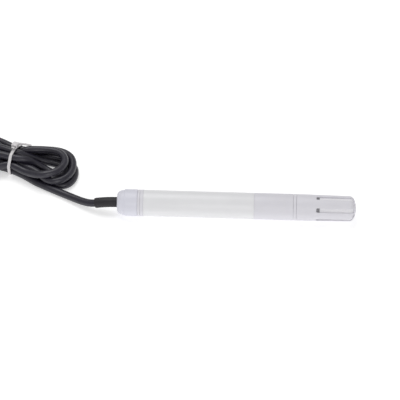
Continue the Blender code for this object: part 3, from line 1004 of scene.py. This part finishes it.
def make_gland():
    collar_start, collar_end = REAR_CAP_END + SEAM, TUBE_START - SEAM
    plug_r = BORE_R - FIT
    outline = [
        (5.7, 4.4, 0.2),
        (10.4, 4.4, 0),
        (10.4, 3.0, 0.2),
        (21.0, 3.0, 0.2),
        (21.0, plug_r, 0.3),
        (18.3, plug_r, 0.1),
        (18.3, 5.1, 0),
        (16.9, 5.1, 0),
        (16.9, plug_r, 0.1),
        (collar_end, plug_r, 0),
        (collar_end, COLLAR_R, 0.15),
        (collar_start, COLLAR_R, 0.15),
        (collar_start, SPIGOT_R, 0),
        (5.7, SPIGOT_R, 0.3),
    ]
    turned_piece("gland_shell", outline, "white_plastic", "gland_body")
    thread_piece("gland_thread", REAR_THREAD, SPIGOT_R, SPIGOT_CREST_R, "white_plastic")


def make_carrier():
    collar_start, collar_end = TUBE_END + SEAM, FILTER_CAP_START - SEAM
    plug_r = BORE_R - FIT
    outline = [
        (98.0, 0, 0),
        (119.2, 0, 0),
        (119.2, SPIGOT_R, 0.4),
        (collar_end, SPIGOT_R, 0),
        (collar_end, COLLAR_R, 0.15),
        (collar_start, COLLAR_R, 0.15),
        (collar_start, plug_r, 0),
        (103.1, plug_r, 0.1),
        (103.1, 5.1, 0),
        (101.7, 5.1, 0),
        (101.7, plug_r, 0.1),
        (98.0, plug_r, 0.3),
    ]
    low, high = at(90, -3.8, -0.8), at(125, 3.8, 0.8)
    body = cut(turned("carrier", rounded(outline)), [block_mesh("board_way", low, high, 0)])
    piece("carrier", body, "white_plastic", stands_for=("sensor_carrier",))
    thread_piece("carrier_thread", FRONT_THREAD, SPIGOT_R, SPIGOT_CREST_R, "white_plastic")


def round_axis(mesh, degrees):
    """Turns a mesh about the probe's axis; positive goes from the top to the near side."""
    centre = Matrix.Translation(at(0) * MM)
    mesh.transform(centre @ Matrix.Rotation(math.radians(degrees), 4, "X") @ centre.inverted())
    return mesh


def make_filter_cap():
    outer = [(s, r, 0) for s, r in arc(DOME_START, 0, 4.0, CAGE_R, 12, 90, 18)]
    inner = [(s, r, 0) for s, r in arc(DOME_START, 0, 3.4, CAGE_BORE_R, 90, 0, 14)]
    outline = [
        (FILTER_CAP_START, NUT_BORE_R, 0.25),
        (116.2, NUT_BORE_R, 0),
        (116.2, CAGE_BORE_R, 0),
        *inner,
        (PROBE_LENGTH, 0, 0),
        (PROBE_LENGTH, 1.6, 0),
        *outer,
        (SLOT_START - 1.0, CAGE_R + 0.3, 0),
        (FILTER_CAP_START, TUBE_R, 0.4),
    ]
    cutters = []
    for i in range(SLOTS):
        low, high = at(SLOT_START, -SLOT_WIDTH / 2, 5.0), at(SLOT_END, SLOT_WIDTH / 2, 9.6)
        slot = block_mesh("slot", low, high, 0.5, segments=3)
        cutters.append(round_axis(slot, SLOT_TURN + 360 / SLOTS * i))
        low = at(DOME_START + 1.0, -VENT_WIDTH / 2, VENT_R - VENT_HEIGHT / 2)
        high = at(PROBE_LENGTH + 1, VENT_WIDTH / 2, VENT_R + VENT_HEIGHT / 2)
        vent = block_mesh("vent", low, high, 0.45, segments=3)
        cutters.append(round_axis(vent, SLOT_TURN + 360 / SLOTS * (i + 0.5)))
    shell = cut(turned("slotted_cap", rounded(outline)), cutters, bevel=0.12)
    piece("slotted_cap", shell, "white_plastic", "filter_cap", stands_for=("filter_cap",))
    start = FRONT_THREAD + PITCH / 2
    thread_piece("slotted_cap_thread", start, NUT_BORE_R, NUT_CREST_R, "white_plastic", "filter_cap")


def make_filter():
    outer = [(s, r, 0) for s, r in arc(DOME_START, 0, 3.3, FILTER_R, 0, 90, 14)]
    inner = [(s, r, 0) for s, r in arc(137.2, 0, 1.6, 4.7, 90, 0, 12)]
    outline = [(FILTER_START, 4.7, 0.15), *inner, *outer, (FILTER_START, FILTER_R, 0.25)]
    turned_piece("filter_core", outline, "filter_white", "filter_insert", "filter_carriage")


def make_rings():
    """The washers, seals and O-rings, each turned from an eased outline."""
    # The seat gasket shows through the rear ends of the slots; its dark grey is partly its rubber's
    # colour and partly painted shade.
    gasket = (119.5, FILTER_START - 0.1, 4.5, FILTER_R - 0.05)
    washer = (3.5, 4.3, 3.65, 5.8)
    for name, node, body, look, (start, end, inner, outer) in (
        ("seat_gasket", "filter_seat_gasket", "filter_carriage", "grey_rubber_painted_shade", gasket),
        ("slip_washer", "thrust_washer", "washer_carriage", "connector_cream", washer),
    ):
        outline = [(start, inner, 0.15), (end, inner, 0.15)]
        outline += [(end, outer, 0.25), (start, outer, 0.25)]
        turned_piece(name, outline, look, node, body)
    seal = [(4.6, 3.6), (10.0, 3.6), (10.0, 4.15), (5.4, 4.15), (5.4, 5.6), (4.6, 5.6)]
    fillets = (0.2, 0.2, 0.2, 0, 0.2, 0.2)
    outline = [(*corner, fillet) for corner, fillet in zip(seal, fillets)]
    turned_piece("gland_seal", outline, "black_rubber", "cable_seal")
    for name, node in (("rear_seal_ring", "rear_o_ring"), ("front_seal_ring", "front_o_ring")):
        start, end = stations(node)
        outline = arc((start + end) / 2, 5.72, 0.5, 0.5, 0, 337.5, 15)
        piece(name, turned(name, outline), "black_rubber", stands_for=(node,))


# Electronics.


def corners(node):
    low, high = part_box(node)
    return low / MM, high / MM


def make_package(name, node, look, bevel):
    """A moulded package or block in a node's own box, with eased edges."""
    low, high = corners(node)
    piece(name, block_mesh(name, low, high, bevel, segments=2), look, stands_for=(node,))
    return low, high


def make_leads(name, node, count, pitch, both_sides=True):
    """Gull-wing leads down two sides of a package, or one."""
    low, high = corners(node)
    middle_x, rise = (low.x + high.x) / 2, (high.z - low.z) * 0.45
    leads = []
    for side in (-1, 1) if both_sides else (-1,):
        face = high.y if side > 0 else low.y
        for i in range(count):
            x = middle_x + (i - (count - 1) / 2) * pitch
            knee = face + side * 0.35
            route = [
                (x, face - side * 0.1, low.z + rise),
                (x, knee, low.z + rise),
                (x, knee + side * 0.12, low.z - 0.18),
                (x, knee + side * 0.6, low.z - 0.18),
            ]
            leads.append(round_bar(name, smooth_route(route, 0.2), 0.13, sides=8))
    piece(name, joined(name, leads), "bright_metal")


def make_ends(name, node):
    """The tinned ends of a chip capacitor."""
    low, high = corners(node)
    ends = []
    for y in (low.y, high.y):
        inset = 0.28 if y == low.y else -0.28
        a, b = sorted((y - 0.02 * math.copysign(1, inset), y + inset))
        bottom, top = (low.x - 0.02, a, low.z - 0.15), (high.x + 0.02, b, high.z + 0.02)
        ends.append(block_mesh(name, bottom, top, 0.06))
    piece(name, joined(name, ends), "bright_metal")


def make_electronics():
    make_package("logic_board", "main_board", "board_green", 0.08)
    make_package("probe_board", "sensor_board", "board_green", 0.08)
    make_package("controller_chip", "microcontroller", "chip_black", 0.12)
    make_leads("controller_leads", "microcontroller", 7, 0.6)
    make_package("bus_chip", "transceiver", "chip_black", 0.15)
    make_leads("bus_leads", "transceiver", 4, 1.1)
    make_package("regulator_chip", "voltage_regulator", "chip_black", 0.15)
    make_leads("regulator_leads", "voltage_regulator", 3, 1.2, both_sides=False)
    make_package("tantalum_block", "bulk_capacitor", "core_yellow", 0.2)
    make_ends("tantalum_ends", "bulk_capacitor")
    make_package("crystal_can", "crystal", "bright_metal", 0.3)
    make_package("sensing_chip", "humidity_chip", "chip_black", 0.12)
    low, high = corners("humidity_chip")
    middle = (low + high) / 2
    rim = [(middle.x, middle.y, high.z - 0.1), (middle.x, middle.y, high.z + 0.12)]
    window = hollow_bar("sensing_window", rim, 0.7, 0.45, 0.06)
    piece("sensing_window", window, "bright_metal")
    make_package("chip_capacitor", "decoupling_capacitor", "connector_cream", 0.1)
    make_ends("chip_capacitor_ends", "decoupling_capacitor")
    housings = (("terminal_housing", "wire_connector", 4), ("link_housing", "board_link", 5))
    for name, node, pins in housings:
        low, high = corners(node)
        ways = []
        for i in range(pins):
            y = (low.y + high.y) / 2 + (i - (pins - 1) / 2) * (high.y - low.y) / (pins + 0.4)
            bottom, top = (low.x - 1, y - 0.45, high.z - 1.5), (low.x + 1.6, y + 0.45, high.z - 0.6)
            ways.append(block_mesh("way", bottom, top, 0))
        housing = cut(block_mesh(name, low, high, 0.2), ways, bevel=0.06)
        piece(name, housing, "connector_cream", stands_for=(node,))


def make_inner_conductors():
    for i, (look, lane) in enumerate(zip(CORES, (3.0, -3.0, -1.0, 1.0))):
        turn = math.radians(45 + 90 * i)
        side, up = 1.1 * math.cos(turn), 1.1 * math.sin(turn)
        route = [
            at(24.05, side, up),
            at(26.0, side, up),
            at(29.0, (side + lane) / 2, (up + 1.6) / 2),
            at(32.0, lane, 1.6),
            at(33.9, lane, 1.6),
        ]
        name = f"inner_{look}"
        wire = round_bar(name, smooth_route(route, 0.6), 0.55, sides=14)
        piece(name, wire, look, stands_for=(f"conductor_{i + 1}",), sharp=60)


def make_floor():
    shape = bmesh.new()
    bmesh.ops.create_grid(shape, x_segments=1, y_segments=1, size=3.0)  # metres
    mesh = bpy.data.meshes.new("floor")
    shape.to_mesh(mesh)
    shape.free()
    floor = bpy.data.objects.new("floor", mesh)
    bpy.context.scene.collection.objects.link(floor)
    paper = plain_look("floor_paper", (0.86, 0.86, 0.86), 0.8, 300, 0.00001, uneven=0.005)
    shader = paper.node_tree.nodes["Principled BSDF"]
    shader.inputs["Emission Color"].default_value = (1, 1, 1, 1)
    shader.inputs["Emission Strength"].default_value = FLOOR_GLOW
    mesh.materials.append(paper)


make_camera()
cable = make_cord()
on_cable = [*make_strain_relief(), *make_tie(), *make_tail_cores()]
make_studio()
make_floor()
make_tube()
make_rear_cap()
make_gland()
make_carrier()
make_filter_cap()
make_filter()
make_rings()
make_electronics()
make_inner_conductors()
